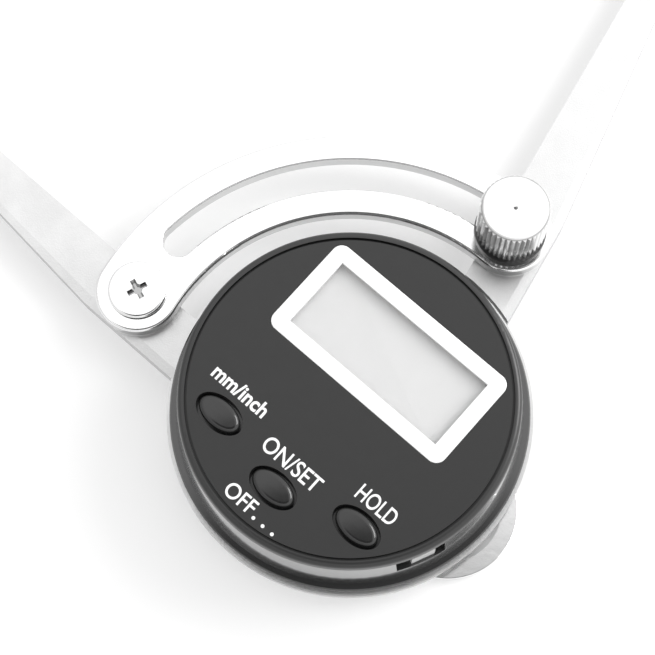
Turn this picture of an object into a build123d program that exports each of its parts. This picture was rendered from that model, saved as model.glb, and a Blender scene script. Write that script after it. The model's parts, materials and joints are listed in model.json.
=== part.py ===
"""Digital leg goniometer: two flat steel arms on one pivot, a slotted quadrant with a knurled lock,
and a round electronic head that rides on the fixed arm.

Frame: +Z up, origin on the pivot axis at the underside of the back plate. +Y bisects the two arms
where they stand fully open, the fixed arm leans to -X and the moving arm to +X. Millimetres.
"""

import os
from math import atan2, cos, degrees, radians, sin

from build123d import *

# ---------------------------------------------------------------- driving dimensions
ARM_HALF_ANGLE = 39.27      # each arm's straight inner edge, measured from +Y, fully open
ARM_REACH = 117.5           # pivot to tip, along an arm
ARM_THICKNESS = 3.1
ARM_INNER = 4.2             # inner edge's distance from the pivot's radial line
ARM_WIDTH = 8.35
ARM_TAPER_START = 38.0      # where the outer edge starts to run in
ARM_TIP_WIDTH = 1.1
EDGE_BEVEL_WIDTH = 1.3
EDGE_BEVEL_DEPTH = 0.12

HUB_RADIUS = 25.0           # steel disc that carries the head
MOVING_HUB_RADIUS = 9.5
LAP_GAP = 0.1               # running gap between stacked plates
RIM_GAP = 0.4               # moving blade's shoulder to the hub disc's rim

LOCK_RADIUS = 33.7          # slot's centre line, and the two fasteners on it
LOCK_ALONG = 33.03          # how far along each arm its fastener sits
QUADRANT_WIDTH = 11.8
QUADRANT_THICKNESS = 2.18
QUADRANT_EDGE = 0.4
SLOT_WIDTH = 4.5
SLOT_CLOSED_ANGLE = 125.35
SCREW_HEAD_RADIUS, SCREW_HEAD_HEIGHT, SCREW_SHANK = 4.1, 0.7, 1.6
CROSS_LENGTH, CROSS_WIDTH, CROSS_DEPTH, CROSS_TURN = 2.9, 0.75, 0.9, 20

BACK_THICKNESS = 1.1
BACK_RADIUS = 23.0
LUG_RADIUS = 9.75
LUG_BORE_RADIUS = 7.5
CELL_AXIS_RADIUS = 18.2
CELL_AXIS_ANGLE = -52.9
CELL_RADIUS = 5.8
CELL_HEIGHT = 3.05
CAP_TURN = 30

SHAFT_RADIUS = 3.0
SHAFT_RUN = 0.04            # running clearance of the shaft in its bush, and of the knob's thread

HEAD_HEIGHT = 10.3          # hub disc's top to the cover's rim
FLOOR = 1.2
WALL_INNER = 21.3
BOARD_THICKNESS = 1.0
FACE_RADIUS = 21.35
FACE_THICKNESS = 0.5
COVER_SKIN = 1.0

WINDOW_LENGTH, WINDOW_HEIGHT = 25.4, 10.6
FRAME_LENGTH, FRAME_HEIGHT, FRAME_CORNER = 29.8, 14.9, 1.5
DISPLAY_OFFSET = 7.75       # display's centre, across the head from the pivot
LCD_LENGTH, LCD_HEIGHT, LCD_THICKNESS = 28.2, 13.4, 1.6

KEY_LENGTH, KEY_WIDTH = 6.5, 3.7
KEY_GAP = 0.4
KEY_LIP = 0.2               # how far a key's flange reaches under the cover
KEY_TRAVEL = 0.4
KEY_PLACES = {"unit_button": (-11.15, -13.05), "power_button": (0.68, -15.72), "hold_button": (12.12, -12.42)}

PORT_ANGLE, PORT_WIDTH, PORT_HEIGHT = -75.4, 6.9, 3.7

KNOB_RADIUS = 4.85
KNOB_FLAT_RADIUS = 4.3
KNOB_HEIGHT = 8.8
KNOB_RIDGES = 40
STUD_RADIUS = 2.0

THIN_SHANK, THIN_HEAD = 1.0, 1.9        # countersunk screws of the head and the back plate
THIN_CONE = THIN_HEAD - THIN_SHANK
SPACER_RADIUS = 2.2
DOWEL_RADIUS, DOWEL_DEPTH = 0.7, 1.8
SHAFT_SEAT_RADIUS, SHAFT_FLANGE_RADIUS, SHAFT_FLANGE = 4.0, 5.6, 0.5
STUD_HEAD_RADIUS, STUD_HEAD = 3.4, 0.8

# ---------------------------------------------------------------- levels worked out from them
LAP = (ARM_THICKNESS - LAP_GAP) / 2
ARM_BOTTOM = BACK_THICKNESS + LAP_GAP
ARM_TOP = ARM_BOTTOM + ARM_THICKNESS
MOVING_BOTTOM = ARM_BOTTOM + 0.05
MOVING_TOP = ARM_TOP - 0.08
MOVING_LAP_TOP = ARM_BOTTOM + LAP
HUB_BOTTOM = ARM_TOP - LAP
QUADRANT_TOP = ARM_TOP + QUADRANT_THICKNESS
RIM_TOP = ARM_TOP + HEAD_HEIGHT
FACE_TOP = RIM_TOP - 0.06
FACE_BOTTOM = FACE_TOP - FACE_THICKNESS
SEAM = RIM_TOP - 1.5
COVER_UNDERSIDE = FACE_BOTTOM - COVER_SKIN
FLOOR_TOP = ARM_TOP + FLOOR
BOARD_BOTTOM = FLOOR_TOP + 3.9
BOARD_TOP = BOARD_BOTTOM + BOARD_THICKNESS
WINDOW_TOP = FACE_TOP - 0.55
WINDOW_THICKNESS = 0.6
LCD_TOP = WINDOW_TOP - WINDOW_THICKNESS
LCD_BOTTOM = LCD_TOP - LCD_THICKNESS
CELL_BOTTOM = ARM_BOTTOM
WASHER_BOTTOM = QUADRANT_TOP + 0.06
WASHER_THICKNESS = 0.6
KNOB_BOTTOM = WASHER_BOTTOM + WASHER_THICKNESS + 0.04
KNURL_BOTTOM = KNOB_BOTTOM + 0.25
KNOB_TOP = KNURL_BOTTOM + KNOB_HEIGHT

FIXED_DIRECTION = 90 + ARM_HALF_ANGLE
MOVING_DIRECTION = 90 - ARM_HALF_ANGLE
LOCK_ACROSS = (LOCK_RADIUS**2 - LOCK_ALONG**2) ** 0.5
LOCK_SWING = degrees(atan2(LOCK_ACROSS, LOCK_ALONG))
SCREW_ANGLE = FIXED_DIRECTION + LOCK_SWING
KNOB_ANGLE = MOVING_DIRECTION - LOCK_SWING
HEAD_ANGLE = FIXED_DIRECTION - 180      # the display's long side lies along the fixed arm

STANDING = (Align.CENTER, Align.CENTER, Align.MIN)      # a solid placed by the middle of its foot


def polar(radius, angle):
    """Point at a radius and an angle from +X, about the pivot."""
    return Vector(radius * cos(radians(angle)), radius * sin(radians(angle)), 0)


def flat_polar(radius, angle):
    """The same point as a pair, for drawing in a sketch."""
    point = polar(radius, angle)
    return point.X, point.Y


def turned_plane(angle, z):
    """Level plane at height z on the pivot axis, with its x axis at an angle from +X."""
    return Plane(origin=(0, 0, z), x_dir=(cos(radians(angle)), sin(radians(angle)), 0), z_dir=(0, 0, 1))


def head_plane(z):
    """Level plane of the head at height z: x along the display, y from the keys to the display."""
    return turned_plane(HEAD_ANGLE, z)


def level(point, z):
    """Level plane at height z over a point."""
    return Plane(origin=(point.X, point.Y, z))


def underside(point, z):
    """Plane at height z under a point, facing down."""
    return Plane(origin=(point.X, point.Y, z), z_dir=(0, 0, -1))


SCREW_AT = polar(LOCK_RADIUS, SCREW_ANGLE)
DOWEL_AT = polar(LOCK_RADIUS, SCREW_ANGLE + 5)
KNOB_AT = polar(LOCK_RADIUS, KNOB_ANGLE)
CELL_AT = polar(CELL_AXIS_RADIUS, CELL_AXIS_ANGLE)
SPACER_PLACES = [polar(20, angle) for angle in (172, 232, -8)]
HOUSING_SCREW_PLACES = [polar(19.6, angle) for angle in (88, 200, 0)]

pieces = {}


def finish(name, builder):
    """Label a finished piece and keep it for export."""
    builder.part.label = name
    pieces[name] = builder.part


# ---------------------------------------------------------------- arms
def blade_points(side, root):
    """Outline of an arm's blade: straight inner edge, outer edge running in to the tip."""
    inner = side * ARM_INNER
    outer = side * (ARM_INNER + ARM_WIDTH)
    tip = side * (ARM_INNER + ARM_TIP_WIDTH)
    return [(root, inner), (ARM_REACH, inner), (ARM_REACH, tip), (ARM_TAPER_START, outer), (root, outer)]


def tip_corners(arm):
    """The two upright edges at an arm's far end."""
    return arm.edges().filter_by(Axis.Z).sort_by(lambda edge: -edge.center().Y)[:2]


def bevel_cutter(side, top):
    """Long wedge that takes the bevel off an arm's outer top edge, from the hub to the tip."""
    outer = side * (ARM_INNER + ARM_WIDTH)
    tip = side * (ARM_INNER + ARM_TIP_WIDTH)
    root = HUB_RADIUS - 5
    width, depth = side * EDGE_BEVEL_WIDTH, EDGE_BEVEL_DEPTH
    share = ARM_TIP_WIDTH / ARM_WIDTH
    sections = [(root, outer, 1.0), (ARM_TAPER_START, outer, 1.0), (ARM_REACH + 1, tip, share)]
    faces = []
    for along, edge, size in sections:
        corner = Vector(along, edge, top)
        inward = corner + Vector(0, -width * size, 0)
        proud = Vector(0, 0, 0.5)
        down = corner + Vector(0, 0, -depth * size) + Vector(0, side * 0.05, 0)
        outward = down + Vector(0, side * 0.5, 0)
        above = outward + proud + Vector(0, 0, depth * size)
        rim = Wire.make_polygon([inward, down, outward, above, inward + proud], close=True)
        faces.append(Face(rim))
    return [Solid.make_loft([start.outer_wire(), end.outer_wire()], ruled=True)
            for start, end in zip(faces, faces[1:])]


# fixed arm: blade and half-thickness hub disc in one plate
with BuildPart() as fixed_arm:
    with BuildSketch(turned_plane(FIXED_DIRECTION, ARM_BOTTOM)):
        with BuildLine():
            Polyline(*blade_points(1, 18), close=True)
        make_face()
    extrude(amount=ARM_THICKNESS)
    fillet(tip_corners(fixed_arm), ARM_TIP_WIDTH * 0.45)
    with BuildSketch(Plane.XY.offset(ARM_BOTTOM)):
        Circle(HUB_RADIUS + RIM_GAP)
    extrude(amount=HUB_BOTTOM - ARM_BOTTOM, mode=Mode.SUBTRACT)
    with BuildSketch(Plane.XY.offset(HUB_BOTTOM)):
        Circle(HUB_RADIUS)
    extrude(amount=LAP)
    for wedge in bevel_cutter(1, ARM_THICKNESS):
        add(turned_plane(FIXED_DIRECTION, ARM_BOTTOM).from_local_coords(wedge), mode=Mode.SUBTRACT)
    with Locations(Plane.XY.offset(ARM_TOP)):
        Hole(5.0)
    with Locations(level(CELL_AT, ARM_TOP)):
        Hole(CELL_RADIUS + 0.2)
    with Locations(*[level(place, ARM_TOP) for place in SPACER_PLACES]):
        Hole(THIN_SHANK)
    with Locations(*[underside(place, HUB_BOTTOM) for place in HOUSING_SCREW_PLACES]):
        CounterSinkHole(THIN_SHANK, THIN_HEAD)
    with Locations(level(SCREW_AT, ARM_TOP)):
        Hole(SCREW_SHANK)
    with Locations(level(DOWEL_AT, ARM_TOP)):
        Hole(DOWEL_RADIUS, depth=DOWEL_DEPTH)
finish("fixed_arm", fixed_arm)

# moving arm: full-thickness blade outside the hub disc, lower lap and small hub under it
with BuildPart() as moving_arm:
    with BuildSketch(turned_plane(MOVING_DIRECTION, MOVING_BOTTOM)):
        with BuildLine():
            Polyline(*blade_points(-1, 22), close=True)
        make_face()
        with BuildLine():
            Polyline((0, -MOVING_HUB_RADIUS), (22, -ARM_INNER - ARM_WIDTH), (24, -ARM_INNER - ARM_WIDTH),
                     (24, -ARM_INNER), (0, -ARM_INNER), close=True)
        make_face()
        Circle(MOVING_HUB_RADIUS)
    extrude(amount=MOVING_TOP - MOVING_BOTTOM)
    fillet(tip_corners(moving_arm), ARM_TIP_WIDTH * 0.45)
    with BuildSketch(Plane.XY.offset(MOVING_LAP_TOP)):
        Circle(HUB_RADIUS + RIM_GAP)
    extrude(amount=ARM_THICKNESS, mode=Mode.SUBTRACT)
    for wedge in bevel_cutter(-1, MOVING_TOP - MOVING_BOTTOM):
        add(turned_plane(MOVING_DIRECTION, MOVING_BOTTOM).from_local_coords(wedge), mode=Mode.SUBTRACT)
    with Locations(underside(Vector(0, 0, 0), MOVING_BOTTOM)):
        CounterBoreHole(SHAFT_SEAT_RADIUS, SHAFT_FLANGE_RADIUS, SHAFT_FLANGE)
    with Locations(underside(KNOB_AT, MOVING_BOTTOM)):
        CounterBoreHole(STUD_RADIUS, STUD_HEAD_RADIUS, STUD_HEAD)
finish("moving_arm", moving_arm)

# ---------------------------------------------------------------- slotted quadrant and its fasteners
with BuildPart() as locking_quadrant:
    with BuildSketch(Plane.XY.offset(ARM_TOP)):
        SlotArc(CenterArc((0, 0), LOCK_RADIUS, KNOB_ANGLE, SCREW_ANGLE - KNOB_ANGLE), QUADRANT_WIDTH)
    extrude(amount=QUADRANT_THICKNESS)
    fillet(locking_quadrant.edges().group_by(Axis.Z)[-1], QUADRANT_EDGE)
    chamfer(locking_quadrant.edges().group_by(Axis.Z)[0], 0.15)
    with BuildSketch(Plane.XY.offset(ARM_TOP)):
        SlotArc(CenterArc((0, 0), LOCK_RADIUS, KNOB_ANGLE, SLOT_CLOSED_ANGLE - KNOB_ANGLE), SLOT_WIDTH)
    extrude(amount=QUADRANT_THICKNESS, mode=Mode.SUBTRACT)
    slot_rim = locking_quadrant.faces().sort_by(Axis.Z)[-1].inner_wires().edges()
    fillet(slot_rim, QUADRANT_EDGE / 2)
    with Locations(level(SCREW_AT, QUADRANT_TOP)):
        Hole(SCREW_SHANK)
    with Locations(Plane(origin=(DOWEL_AT.X, DOWEL_AT.Y, ARM_TOP), z_dir=(0, 0, -1))):
        Hole(DOWEL_RADIUS, depth=1.2)
finish("locking_quadrant", locking_quadrant)

with BuildPart() as quadrant_dowel:
    with Locations(level(DOWEL_AT, ARM_TOP - DOWEL_DEPTH)):
        Cylinder(DOWEL_RADIUS, DOWEL_DEPTH + 1.1, align=STANDING)
finish("quadrant_dowel", quadrant_dowel)

with BuildPart() as quadrant_screw:
    with Locations(level(SCREW_AT, ARM_BOTTOM + 0.1)):
        Cylinder(SCREW_SHANK, QUADRANT_TOP - ARM_BOTTOM - 0.1, align=STANDING)
    with Locations(level(SCREW_AT, QUADRANT_TOP)):
        Cylinder(SCREW_HEAD_RADIUS, SCREW_HEAD_HEIGHT, align=STANDING)
    fillet(quadrant_screw.edges().group_by(Axis.Z)[-1], SCREW_HEAD_HEIGHT * 0.55)
    cross_plane = Plane(origin=(SCREW_AT.X, SCREW_AT.Y, QUADRANT_TOP + SCREW_HEAD_HEIGHT),
                        x_dir=polar(1, CROSS_TURN), z_dir=(0, 0, 1))
    with BuildSketch(cross_plane):
        Rectangle(CROSS_LENGTH, CROSS_WIDTH)
        Rectangle(CROSS_WIDTH, CROSS_LENGTH)
        Circle(CROSS_WIDTH)
    extrude(amount=-CROSS_DEPTH, taper=14, mode=Mode.SUBTRACT)
finish("quadrant_screw", quadrant_screw)

# stud pressed up through the moving arm, riding in the slot
INSERT_RADIUS, INSERT_HEIGHT = 3.0, 6.0
STUD_TOP = KNOB_BOTTOM + INSERT_HEIGHT - 0.3
with BuildPart() as clamp_stud:
    with BuildSketch(Plane(origin=KNOB_AT, x_dir=(1, 0, 0), z_dir=(0, -1, 0))):
        Polygon((0, MOVING_BOTTOM + 0.05), (STUD_HEAD_RADIUS - 0.05, MOVING_BOTTOM + 0.05),
                (STUD_HEAD_RADIUS - 0.05, MOVING_BOTTOM + STUD_HEAD),
                (STUD_RADIUS, MOVING_BOTTOM + STUD_HEAD), (STUD_RADIUS, STUD_TOP - 0.5),
                (STUD_RADIUS - 0.5, STUD_TOP), (0, STUD_TOP), align=None)
    revolve(axis=Axis((KNOB_AT.X, KNOB_AT.Y, 0), (0, 0, 1)))
finish("clamp_stud", clamp_stud)


def ring(name, place, inner, outer, bottom, height):
    """Plain ring about an upright axis."""
    with BuildPart() as part:
        with BuildSketch(level(place, bottom)):
            Circle(outer)
            Circle(inner, mode=Mode.SUBTRACT)
        extrude(amount=height)
    finish(name, part)


ring("clamp_washer", KNOB_AT, STUD_RADIUS + 0.1, 5.0, WASHER_BOTTOM, WASHER_THICKNESS)
ring("knob_insert", KNOB_AT, STUD_RADIUS + SHAFT_RUN, INSERT_RADIUS, KNOB_BOTTOM, INSERT_HEIGHT)

with BuildPart() as clamp_knob:
    with BuildSketch(level(KNOB_AT, KNURL_BOTTOM)):
        ridge_points = []
        for ridge in range(2 * KNOB_RIDGES):
            radius = KNOB_RADIUS if ridge % 2 else KNOB_RADIUS - 0.3
            ridge_points.append(flat_polar(radius, ridge * 180 / KNOB_RIDGES))
        Polygon(*ridge_points, align=None)
    extrude(amount=KNOB_HEIGHT)
    knob_profile = [(0, KNURL_BOTTOM), (KNOB_RADIUS - 0.5, KNURL_BOTTOM),
                    (KNOB_RADIUS + 0.1, KNURL_BOTTOM + 0.6), (KNOB_RADIUS + 0.1, KNOB_TOP - 0.65),
                    (KNOB_FLAT_RADIUS, KNOB_TOP), (0, KNOB_TOP)]
    with BuildSketch(Plane.XZ.offset(-KNOB_AT.Y)):
        with Locations((KNOB_AT.X, 0)):
            Polygon(*knob_profile, align=None)
    revolve(axis=Axis((KNOB_AT.X, KNOB_AT.Y, 0), (0, 0, 1)), mode=Mode.INTERSECT)
    with Locations(level(KNOB_AT, KNOB_BOTTOM)):
        Cylinder(3.9, 0.6, align=STANDING)
    with BuildSketch(level(KNOB_AT, KNOB_BOTTOM)):
        Circle(INSERT_RADIUS + 0.05)
    extrude(amount=INSERT_HEIGHT, mode=Mode.SUBTRACT)
    with Locations(level(KNOB_AT, KNOB_TOP)):
        Cone(0.3, 0.05, 0.25, rotation=(180, 0, 0), align=STANDING,
             mode=Mode.SUBTRACT)
finish("clamp_knob", clamp_knob)

# ---------------------------------------------------------------- pivot
RING_BOTTOM, RING_THICKNESS, GROOVE_RADIUS = ARM_TOP + 1.0, 0.6, SHAFT_RADIUS - 0.5
RING_TOP = RING_BOTTOM + RING_THICKNESS
SHAFT_TOP = BOARD_BOTTOM - 1.8
with BuildPart() as pivot_shaft:
    with BuildSketch(Plane.XZ):
        with BuildLine():
            Polyline((0, MOVING_BOTTOM + 0.05), (SHAFT_FLANGE_RADIUS - 0.05, MOVING_BOTTOM + 0.05),
                     (SHAFT_FLANGE_RADIUS - 0.05, MOVING_BOTTOM + SHAFT_FLANGE),
                     (SHAFT_SEAT_RADIUS, MOVING_BOTTOM + SHAFT_FLANGE), (SHAFT_SEAT_RADIUS, MOVING_LAP_TOP),
                     (SHAFT_RADIUS, MOVING_LAP_TOP), (SHAFT_RADIUS, RING_BOTTOM), (GROOVE_RADIUS, RING_BOTTOM),
                     (GROOVE_RADIUS, RING_TOP), (SHAFT_RADIUS, RING_TOP), (SHAFT_RADIUS, SHAFT_TOP),
                     (0, SHAFT_TOP), close=True)
        make_face()
    revolve(axis=Axis.Z)
finish("pivot_shaft", pivot_shaft)

BUSH_RADIUS, BUSH_FLANGE = 5.0, 0.5
with BuildPart() as pivot_bush:
    with BuildSketch(Plane.XY.offset(HUB_BOTTOM)):
        Circle(BUSH_RADIUS)
    extrude(amount=LAP)
    with BuildSketch(Plane.XY.offset(ARM_TOP)):
        Circle(BUSH_RADIUS + 1.5)
    extrude(amount=BUSH_FLANGE)
    with Locations(Plane.XY.offset(ARM_TOP + BUSH_FLANGE)):
        Hole(SHAFT_RADIUS + SHAFT_RUN)
finish("pivot_bush", pivot_bush)

CENTRE = Vector(0, 0, 0)
ring("thrust_washer", CENTRE, SHAFT_RADIUS, 5.6, ARM_TOP + BUSH_FLANGE + 0.05, 0.45)

with BuildPart() as retaining_ring:
    with BuildSketch(Plane.XY.offset(RING_BOTTOM)):
        Circle(4.4)
        Circle(SHAFT_RADIUS - 0.5, mode=Mode.SUBTRACT)
        with Locations((0, -3.4)):
            Rectangle(3.2, 3.4, mode=Mode.SUBTRACT)
    extrude(amount=RING_THICKNESS)
finish("retaining_ring", retaining_ring)

# ---------------------------------------------------------------- back plate and its fasteners
with BuildPart() as back_plate:
    with BuildSketch():
        Circle(BACK_RADIUS)
        with Locations((CELL_AT.X, CELL_AT.Y)):
            Circle(LUG_RADIUS)
    extrude(amount=BACK_THICKNESS)
    chamfer(back_plate.edges().group_by(Axis.Z)[0], 0.25)
    fillet(back_plate.edges().group_by(Axis.Z)[-1], 0.2)
    tab_plane = Plane(origin=(CELL_AT.X, CELL_AT.Y, 0), x_dir=polar(1, CELL_AXIS_ANGLE), z_dir=(0, 0, 1))
    with BuildSketch(tab_plane):
        Circle(LUG_BORE_RADIUS)
        for side in (90, -90):
            with BuildLine():
                Polyline((0, 0), flat_polar(8.4, side + CAP_TURN - 16), flat_polar(8.7, side + CAP_TURN),
                         flat_polar(8.4, side + CAP_TURN + 16), close=True)
            make_face()
    extrude(amount=BACK_THICKNESS, mode=Mode.SUBTRACT)
    with Locations(*[underside(place, 0) for place in SPACER_PLACES]):
        CounterSinkHole(THIN_SHANK, THIN_HEAD)
finish("back_plate", back_plate)

with BuildPart() as back_spacers:
    with BuildSketch(*[level(place, BACK_THICKNESS) for place in SPACER_PLACES]):
        Circle(SPACER_RADIUS)
        Circle(THIN_SHANK, mode=Mode.SUBTRACT)
    extrude(amount=HUB_BOTTOM - BACK_THICKNESS)
finish("back_spacers", back_spacers)


def thin_screws(name, places, bottom, top):
    """Countersunk screws driven up from below, one at each place."""
    with BuildPart() as part:
        for place in places:
            with BuildSketch(Plane.XZ.offset(-place.Y)):
                with Locations((place.X, 0)):
                    Polygon((0, bottom), (THIN_HEAD, bottom), (THIN_SHANK, bottom + THIN_CONE),
                            (THIN_SHANK, top), (0, top), align=None)
            revolve(axis=Axis((place.X, place.Y, 0), (0, 0, 1)))
        for place in places:
            with BuildSketch(underside(place, bottom)):
                Rectangle(2.0, 0.45)
                Rectangle(0.45, 2.0)
            extrude(amount=-0.6, mode=Mode.SUBTRACT)
    finish(name, part)


thin_screws("back_screws", SPACER_PLACES, 0, ARM_TOP - 0.1)
thin_screws("head_screws", HOUSING_SCREW_PLACES, HUB_BOTTOM, FLOOR_TOP + 3)

# ---------------------------------------------------------------- battery: cap, seal, cell and contacts
CAP_BOTTOM, CAP_FLANGE_TOP = 0.1, 0.6
CAP_FLANGE_RADIUS = LUG_BORE_RADIUS - 0.1
CUP_RADIUS = 6.6
CUP_TOP = HUB_BOTTOM - 0.3
with BuildPart() as battery_cap:
    with BuildSketch(level(CELL_AT, CAP_BOTTOM)):
        Circle(CAP_FLANGE_RADIUS)
    extrude(amount=CAP_FLANGE_TOP - CAP_BOTTOM)
    fillet(battery_cap.edges().group_by(Axis.Z)[0], 0.2)
    with BuildSketch(level(CELL_AT, CAP_FLANGE_TOP)):
        Circle(CUP_RADIUS)
    extrude(amount=CUP_TOP - CAP_FLANGE_TOP)
    with BuildSketch(Plane(origin=(CELL_AT.X, CELL_AT.Y, BACK_THICKNESS + 0.05),
                           x_dir=polar(1, CELL_AXIS_ANGLE), z_dir=(0, 0, 1))):
        for side in (90, -90):
            with BuildLine():
                Polyline((0, 0), flat_polar(8.1, side - 13), flat_polar(8.3, side),
                         flat_polar(8.1, side + 13), close=True)
            make_face()
    extrude(amount=0.6)
    with BuildSketch(level(CELL_AT, CELL_BOTTOM)):
        Circle(CELL_RADIUS + 0.1)
    extrude(amount=HUB_BOTTOM, mode=Mode.SUBTRACT)
    with BuildSketch(Plane(origin=(CELL_AT.X, CELL_AT.Y, CAP_BOTTOM), x_dir=polar(1, HEAD_ANGLE),
                           z_dir=(0, 0, 1))):
        SlotOverall(10.5, 1.5)
    extrude(amount=0.6, mode=Mode.SUBTRACT)
finish("battery_cap", battery_cap)

ring("cap_seal", CELL_AT, CELL_RADIUS + 0.1, CUP_RADIUS, CUP_TOP, 0.27)

with BuildPart() as button_cell:
    with BuildSketch(level(CELL_AT, CELL_BOTTOM)):
        Circle(CELL_RADIUS)
    extrude(amount=CELL_HEIGHT - 0.5)
    fillet(button_cell.edges().group_by(Axis.Z)[0], 0.3)
    with BuildSketch(level(CELL_AT, CELL_BOTTOM + CELL_HEIGHT - 0.5)):
        Circle(CELL_RADIUS - 0.9)
    extrude(amount=0.5)
finish("button_cell", button_cell)

FINGER_BOTTOM = CELL_BOTTOM + CELL_HEIGHT
with BuildPart() as cell_contact:
    with BuildSketch(Plane(origin=(CELL_AT.X, CELL_AT.Y, 0), x_dir=polar(1, CELL_AXIS_ANGLE + 180),
                           z_dir=polar(1, CELL_AXIS_ANGLE + 90))):
        Polygon((-2.5, FINGER_BOTTOM), (4.3, FINGER_BOTTOM), (4.3, BOARD_BOTTOM), (4.0, BOARD_BOTTOM),
                (4.0, FINGER_BOTTOM + 0.3), (-2.5, FINGER_BOTTOM + 0.3), align=None)
    extrude(amount=1.2, both=True)
finish("cell_contact", cell_contact)

GROUND_AT = polar(15.5, 25)
with BuildPart() as ground_pin:
    with Locations(level(GROUND_AT, ARM_TOP)):
        Cylinder(0.8, BOARD_BOTTOM - ARM_TOP, align=STANDING)
finish("ground_pin", ground_pin)

# ---------------------------------------------------------------- electronic head
# opening for the data socket, through the wall just under the cover
port_plane = Plane(origin=polar(21.5, PORT_ANGLE) + Vector(0, 0, SEAM - PORT_HEIGHT),
                   x_dir=polar(1, PORT_ANGLE), z_dir=(0, 0, 1))


with BuildPart() as housing:
    with BuildSketch(Plane.XZ):
        with BuildLine():
            Polyline((0, FLOOR_TOP), (0, ARM_TOP), (24.1, ARM_TOP), (24.45, ARM_TOP + 0.35),
                     (24.45, ARM_TOP + 1.5), (24.25, ARM_TOP + 1.7), (23.55, ARM_TOP + 1.78),
                     (22.7, SEAM - 0.12), (22.58, SEAM), (WALL_INNER, SEAM), (WALL_INNER, FLOOR_TOP),
                     close=True)
        make_face()
    revolve(axis=Axis.Z)
    for place in HOUSING_SCREW_PLACES:
        with BuildSketch(level(place, FLOOR_TOP)):
            Circle(2.0)
        extrude(amount=BOARD_BOTTOM - FLOOR_TOP)
        with BuildSketch(level(place, ARM_TOP)):
            Circle(THIN_SHANK)
        extrude(amount=FLOOR + 3, mode=Mode.SUBTRACT)
    with BuildSketch(Plane.XY.offset(ARM_TOP)):
        Circle(10.8)
        with Locations((CELL_AT.X, CELL_AT.Y)):
            Circle(4.8)
        with Locations((GROUND_AT.X, GROUND_AT.Y)):
            Circle(1.0)
    extrude(amount=FLOOR, mode=Mode.SUBTRACT)
    with BuildSketch(port_plane):
        Rectangle(6, PORT_WIDTH)
    extrude(amount=PORT_HEIGHT, mode=Mode.SUBTRACT)
finish("housing", housing)


def key_places(plane):
    """One placement for each key, on a level plane of the head."""
    return [plane * Location((u, v, 0)) for u, v in KEY_PLACES.values()]


def face_openings(bottom):
    """Openings for the display's frame and for the three keys, on a level plane of the head."""
    with BuildSketch(head_plane(bottom)) as openings:
        with Locations((0, DISPLAY_OFFSET)):
            RectangleRounded(FRAME_LENGTH + 0.1, FRAME_HEIGHT + 0.1, FRAME_CORNER)
        with Locations(*KEY_PLACES.values()):
            Ellipse(KEY_LENGTH / 2 + KEY_GAP, KEY_WIDTH / 2 + KEY_GAP)
    return openings.sketch


SPIGOT_RADIUS, SPIGOT_DEPTH = WALL_INNER - 0.02, 1.0
SPIGOT_INNER = SPIGOT_RADIUS - 0.5
with BuildPart() as cover:
    with BuildSketch(Plane.XZ):
        with BuildLine():
            Polyline((0, FACE_BOTTOM), (0, COVER_UNDERSIDE), (SPIGOT_INNER, COVER_UNDERSIDE),
                     (SPIGOT_INNER, SEAM - SPIGOT_DEPTH), (SPIGOT_RADIUS, SEAM - SPIGOT_DEPTH),
                     (SPIGOT_RADIUS, SEAM), (22.62, SEAM), (22.75, SEAM + 0.13), (22.65, RIM_TOP - 0.65))
            ThreePointArc((22.65, RIM_TOP - 0.65), (22.4, RIM_TOP - 0.2), (21.9, RIM_TOP))
            Polyline((21.9, RIM_TOP), (21.7, RIM_TOP), (21.7, FACE_BOTTOM), (0, FACE_BOTTOM))
        make_face()
    revolve(axis=Axis.Z)
    extrude(face_openings(COVER_UNDERSIDE - 1), amount=COVER_SKIN + 2, mode=Mode.SUBTRACT)
    with BuildSketch(port_plane.offset(-1)):
        Rectangle(6, PORT_WIDTH)
    extrude(amount=PORT_HEIGHT + 1, mode=Mode.SUBTRACT)
finish("cover", cover)

with BuildPart() as face_label:
    with BuildSketch(Plane.XY.offset(FACE_BOTTOM)):
        Circle(FACE_RADIUS)
    extrude(amount=FACE_THICKNESS)
    extrude(face_openings(FACE_BOTTOM), amount=FACE_THICKNESS, mode=Mode.SUBTRACT)
finish("face_label", face_label)

INSIDE_RADIUS = SPIGOT_INNER - 0.1
with BuildPart() as display_frame:
    with BuildSketch(head_plane(COVER_UNDERSIDE)):
        with Locations((0, DISPLAY_OFFSET)):
            RectangleRounded(FRAME_LENGTH, FRAME_HEIGHT, FRAME_CORNER)
    extrude(amount=RIM_TOP - COVER_UNDERSIDE)
    fillet(display_frame.edges().group_by(Axis.Z)[-1], 0.12)
    with BuildSketch(head_plane(COVER_UNDERSIDE - 0.9)):
        with Locations((0, DISPLAY_OFFSET)):
            RectangleRounded(FRAME_LENGTH + 1.4, FRAME_HEIGHT + 1.4, FRAME_CORNER)
        Circle(INSIDE_RADIUS, mode=Mode.INTERSECT)
    extrude(amount=0.9)
    with BuildSketch(head_plane(COVER_UNDERSIDE - 0.9)):
        with Locations((0, DISPLAY_OFFSET)):
            Rectangle(LCD_LENGTH + 0.1, LCD_HEIGHT + 0.1)
    extrude(amount=WINDOW_TOP - COVER_UNDERSIDE + 0.9, mode=Mode.SUBTRACT)
    with BuildSketch(head_plane(WINDOW_TOP)):
        with Locations((0, DISPLAY_OFFSET)):
            Rectangle(WINDOW_LENGTH, WINDOW_HEIGHT)
    extrude(amount=1, mode=Mode.SUBTRACT)
finish("display_frame", display_frame)


def display_layer(name, length, height, bottom, thickness, offset=DISPLAY_OFFSET):
    """Flat rectangular layer of the display stack, lying along the head."""
    with BuildPart() as part:
        with BuildSketch(head_plane(bottom)):
            with Locations((0, offset)):
                Rectangle(length, height)
        extrude(amount=thickness)
    finish(name, part)


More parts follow.
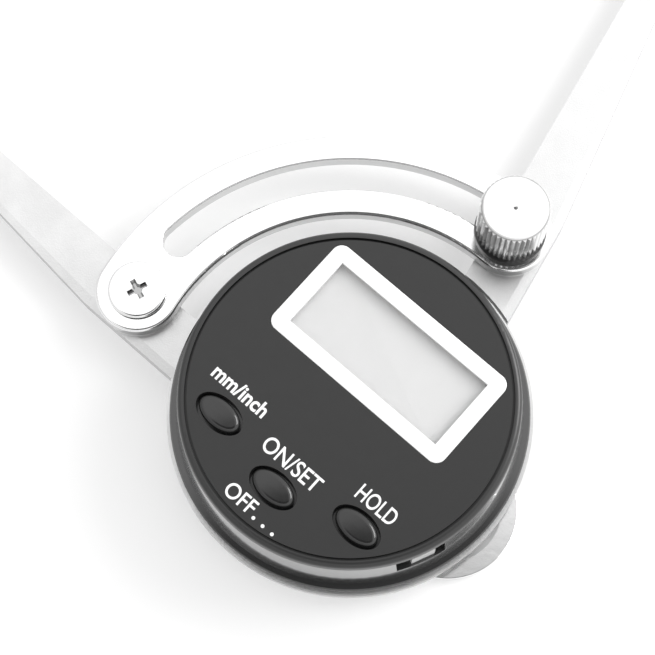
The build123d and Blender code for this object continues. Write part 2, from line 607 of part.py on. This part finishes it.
display_layer("display_window", LCD_LENGTH, LCD_HEIGHT, LCD_TOP, WINDOW_THICKNESS)
display_layer("display_panel", LCD_LENGTH, LCD_HEIGHT, LCD_BOTTOM, LCD_THICKNESS)
ZEBRA_WIDTH = 1.6
display_layer("contact_strip", LCD_LENGTH - 2, ZEBRA_WIDTH, BOARD_TOP, LCD_BOTTOM - BOARD_TOP,
              DISPLAY_OFFSET - (LCD_HEIGHT - ZEBRA_WIDTH) / 2)
display_layer("controller_chip", 7, 7, BOARD_TOP, 1.0, -6.0)

with BuildPart() as circuit_board:
    with BuildSketch(Plane.XY.offset(BOARD_BOTTOM)):
        Circle(INSIDE_RADIUS)
    extrude(amount=BOARD_THICKNESS)
finish("circuit_board", circuit_board)

SOCKET_ANGLE, SOCKET_WIDTH = PORT_ANGLE + 0.9, 3.3


def socket_plane(radius, z):
    """Level plane at a radius in the middle of the socket, its x axis pointing outwards."""
    return Plane(origin=polar(radius, SOCKET_ANGLE) + Vector(0, 0, z), x_dir=polar(1, SOCKET_ANGLE),
                 z_dir=(0, 0, 1))


with BuildPart() as data_socket:
    with BuildSketch(socket_plane(19.4, BOARD_TOP)):
        Rectangle(3.2, SOCKET_WIDTH)
    extrude(amount=1)
    with BuildSketch(socket_plane(21.85, SEAM - PORT_HEIGHT + 0.05)):
        Rectangle(1.8, SOCKET_WIDTH)
    extrude(amount=PORT_HEIGHT - 0.25)
finish("data_socket", data_socket)

DOME_HEIGHT = 0.5
with BuildPart() as dome_switches:
    with Locations(*key_places(head_plane(BOARD_TOP))):
        Cylinder(2.0, DOME_HEIGHT, align=STANDING)
    fillet(dome_switches.edges().group_by(Axis.Z)[-1], 0.4)
finish("dome_switches", dome_switches)

KEY_RISE, KEY_DOME_RADIUS, KEY_EDGE = 0.5, 40.0, 0.7
for key_name, (key_u, key_v) in KEY_PLACES.items():
    with BuildPart() as key:
        with BuildSketch(head_plane(COVER_UNDERSIDE)):
            with Locations((key_u, key_v)):
                Ellipse(KEY_LENGTH / 2, KEY_WIDTH / 2)
        extrude(amount=FACE_TOP + KEY_RISE - COVER_UNDERSIDE)
        with Locations(head_plane(FACE_TOP + KEY_RISE - KEY_DOME_RADIUS) * Location((key_u, key_v, 0))):
            Sphere(KEY_DOME_RADIUS, mode=Mode.INTERSECT)
        fillet(key.faces().sort_by(Axis.Z)[-1].edges(), KEY_EDGE)
        with BuildSketch(head_plane(COVER_UNDERSIDE - 0.65)):
            with Locations((key_u, key_v)):
                Ellipse(KEY_LENGTH / 2 + KEY_GAP + KEY_LIP, KEY_WIDTH / 2 + KEY_GAP + KEY_LIP)
        extrude(amount=0.6)
        with BuildSketch(head_plane(COVER_UNDERSIDE - 0.06)):
            with Locations((key_u, key_v)):
                Ellipse(KEY_LENGTH / 2, KEY_WIDTH / 2)
        extrude(amount=0.1)
        stem_bottom = BOARD_TOP + DOME_HEIGHT + KEY_TRAVEL + 0.1
        with BuildSketch(head_plane(stem_bottom)):
            with Locations((key_u, key_v)):
                Circle(1.2)
        extrude(amount=COVER_UNDERSIDE - 0.3 - stem_bottom)
    finish(key_name, key)

# ---------------------------------------------------------------- angle sensor
STATOR_THICKNESS, ROTOR_THICKNESS, SENSOR_GAP = 0.5, 0.6, 0.4
ROTOR_BOTTOM = BOARD_BOTTOM - STATOR_THICKNESS - SENSOR_GAP - ROTOR_THICKNESS
ring("sensor_stator", CENTRE, 4.0, 10.0, BOARD_BOTTOM - STATOR_THICKNESS, STATOR_THICKNESS)
with BuildPart() as sensor_rotor:
    with BuildSketch(Plane.XY.offset(ROTOR_BOTTOM)):
        Circle(10.0)
    extrude(amount=ROTOR_THICKNESS)
    with BuildSketch(Plane.XY.offset(RING_BOTTOM + RING_THICKNESS + 0.05)):
        Circle(4.4)
    extrude(amount=ROTOR_BOTTOM - RING_BOTTOM - RING_THICKNESS - 0.05)
    with BuildSketch(Plane.XY.offset(RING_BOTTOM)):
        Circle(SHAFT_RADIUS)
    extrude(amount=SHAFT_TOP - RING_BOTTOM, mode=Mode.SUBTRACT)
finish("sensor_rotor", sensor_rotor)

# ---------------------------------------------------------------- files
os.makedirs("parts", exist_ok=True)
for name, piece in pieces.items():
    export_step(piece, f"parts/{name}.step")
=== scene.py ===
"""Digital leg goniometer: materials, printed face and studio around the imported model."""

import json
from math import cos, pi, radians, sin

import bpy
from mathutils import Matrix, Vector


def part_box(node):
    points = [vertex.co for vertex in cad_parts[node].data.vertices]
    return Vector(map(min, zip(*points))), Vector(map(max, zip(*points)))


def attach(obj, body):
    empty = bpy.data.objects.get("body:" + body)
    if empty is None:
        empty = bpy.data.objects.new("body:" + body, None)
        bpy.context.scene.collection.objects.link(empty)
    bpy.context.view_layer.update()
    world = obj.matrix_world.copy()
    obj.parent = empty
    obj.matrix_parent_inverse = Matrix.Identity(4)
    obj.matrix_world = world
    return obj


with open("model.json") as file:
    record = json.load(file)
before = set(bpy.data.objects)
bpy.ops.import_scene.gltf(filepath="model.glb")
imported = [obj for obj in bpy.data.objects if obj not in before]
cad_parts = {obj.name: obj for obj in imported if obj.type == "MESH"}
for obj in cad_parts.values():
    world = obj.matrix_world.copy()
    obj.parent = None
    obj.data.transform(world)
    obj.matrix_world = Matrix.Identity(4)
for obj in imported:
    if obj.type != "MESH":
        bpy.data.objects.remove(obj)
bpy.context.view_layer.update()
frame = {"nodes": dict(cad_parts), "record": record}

MM = 0.001
HEAD_TURN = radians(-50.73)          # the display's long side, from +X


def head_point(along, across, height):
    """Point on the head: along the display, across it, and a height in metres."""
    turn = Matrix.Rotation(HEAD_TURN, 3, "Z")
    flat = turn @ Vector((along * MM, across * MM, 0))
    return Vector((flat.x, flat.y, height))


def nothing_selected():
    bpy.ops.object.select_all(action="DESELECT")


# ------------------------------------------------------------------ camera
camera_data = bpy.data.cameras.new("copy_stand_camera")
camera_data.sensor_width = 36
camera_data.lens = 98.93
camera_data.clip_start, camera_data.clip_end = 0.01, 10
camera = bpy.data.objects.new("copy_stand_camera", camera_data)
bpy.context.scene.collection.objects.link(camera)
camera_right = Vector((0.98692, -0.16045, -0.01549))
camera_up = Vector((0.15878, 0.95107, 0.26504))
camera_back = Vector((-0.02779, -0.26403, 0.96411))
aim = Matrix((camera_right, camera_up, camera_back)).transposed()
camera.matrix_world = Matrix.Translation((-7.962 * MM, -53.279 * MM, 244.016 * MM)) @ aim.to_4x4()
bpy.context.scene.camera = camera


# ------------------------------------------------------------------ shared surface effects
def shader_group(name, inputs, outputs):
    """Empty node group with named sockets and its two end nodes."""
    group = bpy.data.node_groups.new(name, "ShaderNodeTree")
    for socket, kind, value in inputs:
        made = group.interface.new_socket(socket, in_out="INPUT", socket_type=kind)
        made.default_value = value
    for socket, kind in outputs:
        group.interface.new_socket(socket, in_out="OUTPUT", socket_type=kind)
    return group, group.nodes.new("NodeGroupInput"), group.nodes.new("NodeGroupOutput")


def worked_surface_group():
    """Fine grain that lifts the surface, with slow patches in colour and gloss."""
    group, given, made = shader_group(
        "worked_surface",
        [("Colour", "NodeSocketColor", (0.5, 0.5, 0.5, 1)), ("Shade", "NodeSocketColor", (0.4, 0.4, 0.4, 1)),
         ("Grain per metre", "NodeSocketFloat", 5000), ("Grain height", "NodeSocketFloat", 0.00001),
         ("Patches per metre", "NodeSocketFloat", 60), ("Patchiness", "NodeSocketFloat", 0.3),
         ("Roughness", "NodeSocketFloat", 0.4), ("Gloss spread", "NodeSocketFloat", 0.1)],
        [("Colour", "NodeSocketColor"), ("Roughness", "NodeSocketFloat"), ("Normal", "NodeSocketVector")])
    nodes, links = group.nodes, group.links
    place = nodes.new("ShaderNodeTexCoord")
    grain = nodes.new("ShaderNodeTexNoise")
    grain.inputs["Detail"].default_value = 3
    patches = nodes.new("ShaderNodeTexNoise")
    patches.inputs["Detail"].default_value = 4
    shade = nodes.new("ShaderNodeMix")
    shade.data_type = "RGBA"
    amount = nodes.new("ShaderNodeMath")
    amount.operation = "MULTIPLY"
    spread = nodes.new("ShaderNodeMath")
    spread.operation = "MULTIPLY_ADD"
    centred = nodes.new("ShaderNodeMath")
    centred.operation = "SUBTRACT"
    centred.inputs[1].default_value = 0.5
    mixed = nodes.new("ShaderNodeMath")
    mixed.operation = "MULTIPLY_ADD"
    mixed.inputs[1].default_value = 0.5
    lift = nodes.new("ShaderNodeBump")
    links.new(place.outputs["Object"], grain.inputs["Vector"])
    links.new(given.outputs["Grain per metre"], grain.inputs["Scale"])
    links.new(place.outputs["Object"], patches.inputs["Vector"])
    links.new(given.outputs["Patches per metre"], patches.inputs["Scale"])
    links.new(grain.outputs["Fac"], mixed.inputs[0])
    links.new(patches.outputs["Fac"], mixed.inputs[2])
    links.new(mixed.outputs[0], amount.inputs[0])
    links.new(given.outputs["Patchiness"], amount.inputs[1])
    links.new(amount.outputs[0], shade.inputs["Factor"])
    links.new(given.outputs["Colour"], shade.inputs["A"])
    links.new(given.outputs["Shade"], shade.inputs["B"])
    links.new(patches.outputs["Fac"], centred.inputs[0])
    links.new(centred.outputs[0], spread.inputs[0])
    links.new(given.outputs["Gloss spread"], spread.inputs[1])
    links.new(given.outputs["Roughness"], spread.inputs[2])
    links.new(grain.outputs["Fac"], lift.inputs["Height"])
    links.new(given.outputs["Grain height"], lift.inputs["Distance"])
    links.new(shade.outputs["Result"], made.inputs["Colour"])
    links.new(spread.outputs[0], made.inputs["Roughness"])
    links.new(lift.outputs["Normal"], made.inputs["Normal"])
    return group


def recess_shadow_group():
    """Mask of a round recess: inside a radius about an upright axis, and below a height."""
    group, given, made = shader_group(
        "recess_shadow",
        [("Axis", "NodeSocketVector", (0, 0, 0)), ("Radius", "NodeSocketFloat", 0.002),
         ("Softness", "NodeSocketFloat", 0.0002), ("Top", "NodeSocketFloat", 0.01),
         ("Top softness", "NodeSocketFloat", 0.0002)],
        [("Mask", "NodeSocketFloat")])
    nodes, links = group.nodes, group.links
    place = nodes.new("ShaderNodeTexCoord")
    apart = nodes.new("ShaderNodeVectorMath")
    apart.operation = "SUBTRACT"
    flatten = nodes.new("ShaderNodeVectorMath")
    flatten.operation = "MULTIPLY"
    flatten.inputs[1].default_value = (1, 1, 0)
    reach = nodes.new("ShaderNodeVectorMath")
    reach.operation = "LENGTH"
    height = nodes.new("ShaderNodeSeparateXYZ")
    links.new(place.outputs["Object"], apart.inputs[0])
    links.new(given.outputs["Axis"], apart.inputs[1])
    links.new(apart.outputs[0], flatten.inputs[0])
    links.new(flatten.outputs[0], reach.inputs[0])
    links.new(place.outputs["Object"], height.inputs[0])
    steps = []
    for limit, soft, measured in (("Radius", "Softness", reach.outputs["Value"]),
                                  ("Top", "Top softness", height.outputs["Z"])):
        below = nodes.new("ShaderNodeMath")
        below.operation = "SUBTRACT"
        ratio = nodes.new("ShaderNodeMath")
        ratio.operation = "DIVIDE"
        ratio.use_clamp = True
        links.new(given.outputs[limit], below.inputs[0])
        links.new(measured, below.inputs[1])
        links.new(below.outputs[0], ratio.inputs[0])
        links.new(given.outputs[soft], ratio.inputs[1])
        steps.append(ratio)
    both = nodes.new("ShaderNodeMath")
    both.operation = "MULTIPLY"
    links.new(steps[0].outputs[0], both.inputs[0])
    links.new(steps[1].outputs[0], both.inputs[1])
    links.new(both.outputs[0], made.inputs["Mask"])
    return group


worked_surface = worked_surface_group()
recess_shadow = recess_shadow_group()


def lay_over(material, mask, tone, strength):
    """Tone laid over a material's colour where a mask is set."""
    nodes, links = material.node_tree.nodes, material.node_tree.links
    shader = nodes["Principled BSDF"]
    part = nodes.new("ShaderNodeMath")
    part.operation = "MULTIPLY"
    part.inputs[1].default_value = strength
    tint = nodes.new("ShaderNodeMix")
    tint.data_type = "RGBA"
    tint.inputs["B"].default_value = (*tone, 1)
    links.new(mask, part.inputs[0])
    links.new(part.outputs[0], tint.inputs["Factor"])
    links.new(shader.inputs["Base Color"].links[0].from_socket, tint.inputs["A"])
    links.new(tint.outputs["Result"], shader.inputs["Base Color"])


def paint_recess_shade(material, axis, radius, softness, top, top_softness, tone, strength=1.0):
    """Painted shade in a recess, laid over a finish."""
    nodes = material.node_tree.nodes
    recess = nodes.new("ShaderNodeGroup")
    recess.node_tree = recess_shadow
    values = {"Axis": axis, "Radius": radius, "Softness": softness, "Top": top, "Top softness": top_softness}
    for socket, value in values.items():
        recess.inputs[socket].default_value = value
    lay_over(material, recess.outputs["Mask"], tone, strength)


def painted_edge_shade_group():
    """Mask of upright faces, where painted shade makes them darker than the flats."""
    group, given, made = shader_group("painted_edge_shade", [("Softness", "NodeSocketFloat", 0.4)],
                                      [("Mask", "NodeSocketFloat")])
    nodes, links = group.nodes, group.links
    surface = nodes.new("ShaderNodeNewGeometry")
    facing = nodes.new("ShaderNodeSeparateXYZ")
    tilt = nodes.new("ShaderNodeMath")
    tilt.operation = "ABSOLUTE"
    mask = nodes.new("ShaderNodeMapRange")
    mask.interpolation_type = "SMOOTHSTEP"
    mask.inputs["To Min"].default_value, mask.inputs["To Max"].default_value = 1, 0
    mask.inputs["From Min"].default_value = 0
    links.new(surface.outputs["Normal"], facing.inputs[0])
    links.new(facing.outputs["Z"], tilt.inputs[0])
    links.new(tilt.outputs[0], mask.inputs["Value"])
    links.new(given.outputs["Softness"], mask.inputs["From Max"])
    links.new(mask.outputs["Result"], made.inputs["Mask"])
    return group


painted_edge_shade = painted_edge_shade_group()


def paint_edge_shade(material, tone, strength, softness=0.4):
    """Painted shade on a finish's upright faces."""
    edge = material.node_tree.nodes.new("ShaderNodeGroup")
    edge.node_tree = painted_edge_shade
    edge.inputs["Softness"].default_value = softness
    lay_over(material, edge.outputs["Mask"], tone, strength)


def finish_material(name, colour, shade, roughness, grain=5000, height=0.00001, patches=60, patchiness=0.3,
                    spread=0.1, **shader_values):
    """Material of one finish: the worked surface feeds a plain shader."""
    material = bpy.data.materials.new(name)
    material.use_nodes = True
    nodes, links = material.node_tree.nodes, material.node_tree.links
    shader = nodes["Principled BSDF"]
    surface = nodes.new("ShaderNodeGroup")
    surface.node_tree = worked_surface
    values = {"Colour": (*colour, 1), "Shade": (*shade, 1), "Roughness": roughness, "Grain per metre": grain,
              "Grain height": height, "Patches per metre": patches, "Patchiness": patchiness,
              "Gloss spread": spread}
    for socket, value in values.items():
        surface.inputs[socket].default_value = value
    for socket, value in shader_values.items():
        shader.inputs[socket.replace("_", " ")].default_value = value
    links.new(surface.outputs["Colour"], shader.inputs["Base Color"])
    links.new(surface.outputs["Roughness"], shader.inputs["Roughness"])
    links.new(surface.outputs["Normal"], shader.inputs["Normal"])
    return material


def grey(value):
    return (value, value, value)


finishes = {
    "satin_steel": finish_material("satin_steel", grey(0.87), grey(0.68), 0.35, grain=5000, height=0.00002,
                                   patches=300, patchiness=0.6, Metallic=1),
    "polished_steel": finish_material("polished_steel", grey(0.93), grey(0.82), 0.13, grain=900, height=0.000004,
                                      patches=120, patchiness=0.3, spread=0.08, Metallic=1),
    "screw_steel": finish_material("screw_steel", grey(0.80), grey(0.6), 0.3, grain=4000, height=0.000008,
                                   Metallic=1),
    "knob_steel": finish_material("knob_steel", grey(0.92), grey(0.78), 0.16, grain=2500, height=0.000004,
                                  patches=200, patchiness=0.35, Metallic=1),
    "dark_housing": finish_material("dark_housing", grey(0.030), grey(0.022), 0.2, grain=6000, height=0.0000003,
                                    Coat_Weight=1, Coat_Roughness=0.06, Coat_IOR=1.6),
    "dark_cover": finish_material("dark_cover", grey(0.03), grey(0.022), 0.3, grain=7000, height=0.000004),
    "face_overlay": finish_material("face_overlay", grey(0.023), grey(0.016), 0.36, grain=9000, height=0.000010,
                                    patches=500, patchiness=0.5),
    "white_plastic": finish_material("white_plastic", grey(0.95), grey(0.9), 0.35, grain=3000, height=0.000004),
    "clear_window": finish_material("clear_window", grey(0.95), grey(0.9), 0.08, height=0.000001, spread=0.04,
                                    Alpha=0.12),
    "display_glass": finish_material("display_glass", grey(0.69), grey(0.64), 0.3, grain=2500, height=0.000002,
                                     patches=120, patchiness=0.3),
    "black_rubber": finish_material("black_rubber", grey(0.02), grey(0.012), 0.75),
    "board_laminate": finish_material("board_laminate", (0.02, 0.13, 0.05), (0.01, 0.07, 0.03), 0.4),
    "chip_resin": finish_material("chip_resin", grey(0.02), grey(0.03), 0.6),
    "spring_steel": finish_material("spring_steel", grey(0.75), grey(0.6), 0.25, Metallic=1),
    "socket_plastic": finish_material("socket_plastic", grey(0.72), grey(0.55), 0.25),
    "brass": finish_material("brass", (0.78, 0.6, 0.3), (0.6, 0.42, 0.18), 0.28, Metallic=1),
    "cell_steel": finish_material("cell_steel", grey(0.8), grey(0.7), 0.2, Metallic=1),
    "button_plastic": finish_material("button_plastic", grey(0.014), grey(0.020), 0.16, grain=1500, height=0.000003,
                                      Coat_Weight=0.3),
    "blackened_steel": finish_material("blackened_steel", grey(0.16), grey(0.1), 0.35, grain=4000, Metallic=1),
    "white_ink": finish_material("white_ink", grey(0.92), grey(0.85), 0.5, grain=9000, height=0.000004),
}


def centre_of(node):
    """Middle of a node's box, in metres."""
    low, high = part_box(node)
    return (low + high) / 2


# the screw's cross recess gets painted shade, darker inside it below the head's top
finishes["recessed_screw"] = finish_material("recessed_screw", grey(0.93), grey(0.82), 0.16, grain=1500,
                                             height=0.000003, patches=150, Metallic=1)
paint_recess_shade(finishes["recessed_screw"], centre_of("quadrant_screw"), 1.75 * MM, 0.05 * MM,
              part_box("quadrant_screw")[1].z - 0.08 * MM, 0.5 * MM, grey(0.45))
finishes["knurled_steel"] = finish_material("knurled_steel", grey(0.92), grey(0.78), 0.16, grain=2500,
                                            height=0.000004, patches=200, patchiness=0.35, Metallic=1)
# painted shade on the knob below its top, in the knurl valleys and the gap above the washer
paint_recess_shade(finishes["knurled_steel"], centre_of("clamp_knob"), 4.72 * MM, 0.2 * MM,
              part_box("clamp_knob")[1].z - 0.12 * MM, 0.1 * MM, grey(0.1), 0.65)
# painted shade in the groove round the face label
paint_recess_shade(finishes["dark_cover"], (0, 0, 0), 21.75 * MM, 0.05 * MM,
              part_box("face_label")[1].z - 0.02 * MM, 0.05 * MM, grey(0.004), 0.55)

# painted shade on the upright faces of the steel parts, standing in for reflected shadow
paint_edge_shade(finishes["polished_steel"], grey(0.1), 0.3)
paint_edge_shade(finishes["recessed_screw"], grey(0.3), 0.8)
paint_edge_shade(finishes["satin_steel"], grey(0.3), 0.5)
slots = {entry["node"]: entry["material_slot"] for entry in frame["record"]["subparts"]}
# the washer takes the dark steel to paint the shade under the knob; the screw and knob finishes carry painted
# recess shade
finish_with_painted_shade = {"quadrant_screw": "recessed_screw", "clamp_knob": "knurled_steel", "clamp_washer": "blackened_steel"}
for node, thing in frame["nodes"].items():
    thing.data.materials.clear()
    thing.data.materials.append(finishes[finish_with_painted_shade.get(node, slots[node])])


# ------------------------------------------------------------------ printing on the face
FACE_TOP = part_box("face_label")[1].z
INK_DEPTH = 0.02 * MM


def printed_word(name, words, start, end, baseline, height, boldness=0.0):
    """Raised white word, fitted between two places along the face, standing on a baseline across it."""
    nothing_selected()
    bpy.ops.object.text_add()
    word = bpy.context.object
    word.name = name
    word.data.body = words
    word.data.size = 1
    word.data.offset = boldness
    word.data.extrude = 0.5
    bpy.ops.object.convert(target="MESH")
    word = bpy.context.object
    low = Vector(map(min, zip(*(v.co for v in word.data.vertices))))
    high = Vector(map(max, zip(*(v.co for v in word.data.vertices))))
    size = high - low
    word.scale = ((end - start) * MM / size.x, height * MM / size.y, INK_DEPTH / size.z)
    word.location = head_point(start, baseline, FACE_TOP)
    word.location -= Matrix.Rotation(HEAD_TURN, 3, "Z") @ Vector((low.x * word.scale.x, low.y * word.scale.y, 0))
    word.rotation_euler.z = HEAD_TURN
    bpy.ops.object.transform_apply(location=True, rotation=True, scale=True)
    word.data.materials.clear()
    word.data.materials.append(finishes["white_ink"])
    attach(word, "head")
    return word


printed_word("units_word", "mm/inch", -15.6, -6.6, -10.0, 2.15, 0.025)
printed_word("on_word", "ON/SET", -4.2, 5.15, -12.9, 2.3, 0.01)
printed_word("hold_word", "HOLD", 9.2, 15.3, -9.65, 2.25, 0.01)
printed_word("off_word", "OFF", -3.9, 0.8, -20.5, 2.15, 0.01)

nothing_selected()
for number, along in enumerate((1.4, 3.0, 4.6)):
    bpy.ops.mesh.primitive_cylinder_add(vertices=24, radius=0.25 * MM, depth=INK_DEPTH,
                                        location=head_point(along, -20.3, FACE_TOP))
    dot = bpy.context.object
    dot.name = f"off_dot_{number + 1}"
    bpy.ops.object.transform_apply(location=True, rotation=True, scale=True)
    dot.data.materials.append(finishes["white_ink"])
    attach(dot, "head")
    nothing_selected()

# ------------------------------------------------------------------ floor and light
bpy.ops.mesh.primitive_plane_add(size=6, location=(0, 0, -0.03 * MM))
floor = bpy.context.object
floor.name = "studio_floor"
paper = finish_material("studio_paper", grey(0.58), grey(0.56), 0.8, grain=400, height=0.00001,
                        patches=3, Emission_Color=(1, 1, 1, 1), Emission_Strength=0.42)
floor.data.materials.append(paper)
# the paper is clear from underneath, so the object's back can be seen through it
paper_nodes, paper_links = paper.node_tree.nodes, paper.node_tree.links
side = paper_nodes.new("ShaderNodeNewGeometry")
clear = paper_nodes.new("ShaderNodeBsdfTransparent")
sheet = paper_nodes.new("ShaderNodeMixShader")
paper_links.new(side.outputs["Backfacing"], sheet.inputs["Fac"])
paper_links.new(paper_nodes["Principled BSDF"].outputs["BSDF"], sheet.inputs[1])
paper_links.new(clear.outputs["BSDF"], sheet.inputs[2])
paper_links.new(sheet.outputs["Shader"], paper_nodes["Material Output"].inputs["Surface"])

world = bpy.data.worlds.new("studio")
bpy.context.scene.world = world
world.use_nodes = True
sky, sky_links = world.node_tree.nodes, world.node_tree.links
sky_place = sky.new("ShaderNodeTexCoord")


def sky_tone(direction, near, far, near_tone, far_tone):
    """Tone of the surroundings by how far they lie along a direction."""
    along = sky.new("ShaderNodeVectorMath")
    along.operation = "DOT_PRODUCT"
    along.inputs[1].default_value = direction
    tone = sky.new("ShaderNodeMapRange")
    tone.interpolation_type = "SMOOTHSTEP"
    for socket, value in zip(("From Min", "From Max", "To Min", "To Max"), (near, far, near_tone, far_tone)):
        tone.inputs[socket].default_value = value
    sky_links.new(sky_place.outputs["Generated"], along.inputs[0])
    sky_links.new(along.outputs["Value"], tone.inputs["Value"])
    return tone.outputs["Result"]


tent = sky_tone((0.5, 0.0, 0.87), -0.1, 0.8, 0.75, 1.32)
dark_camera = sky_tone(camera_back, 0.875, 0.95, 1.0, 0.08)
sky_mix = sky.new("ShaderNodeMath")
sky_mix.operation = "MULTIPLY"
sky_links.new(tent, sky_mix.inputs[0])
sky_links.new(dark_camera, sky_mix.inputs[1])
sky_links.new(sky_mix.outputs[0], sky["Background"].inputs["Strength"])
sky["Background"].inputs["Color"].default_value = (1, 1, 1, 1)


def softbox(name, place, target, width, height, watts):
    """Rectangular soft light aimed at a point."""
    data = bpy.data.lights.new(name, "AREA")
    data.shape = "RECTANGLE"
    data.size, data.size_y = width, height
    data.energy = watts
    light = bpy.data.objects.new(name, data)
    bpy.context.scene.collection.objects.link(light)
    light.location = place
    light.rotation_euler = (Vector(target) - Vector(place)).to_track_quat("-Z", "Y").to_euler()
    return light


softbox("right_softbox", (0.75, 0.15, 0.5), (0, 0, 0), 0.5, 0.5, 5)

bpy.context.scene.view_settings.view_transform = "Standard"
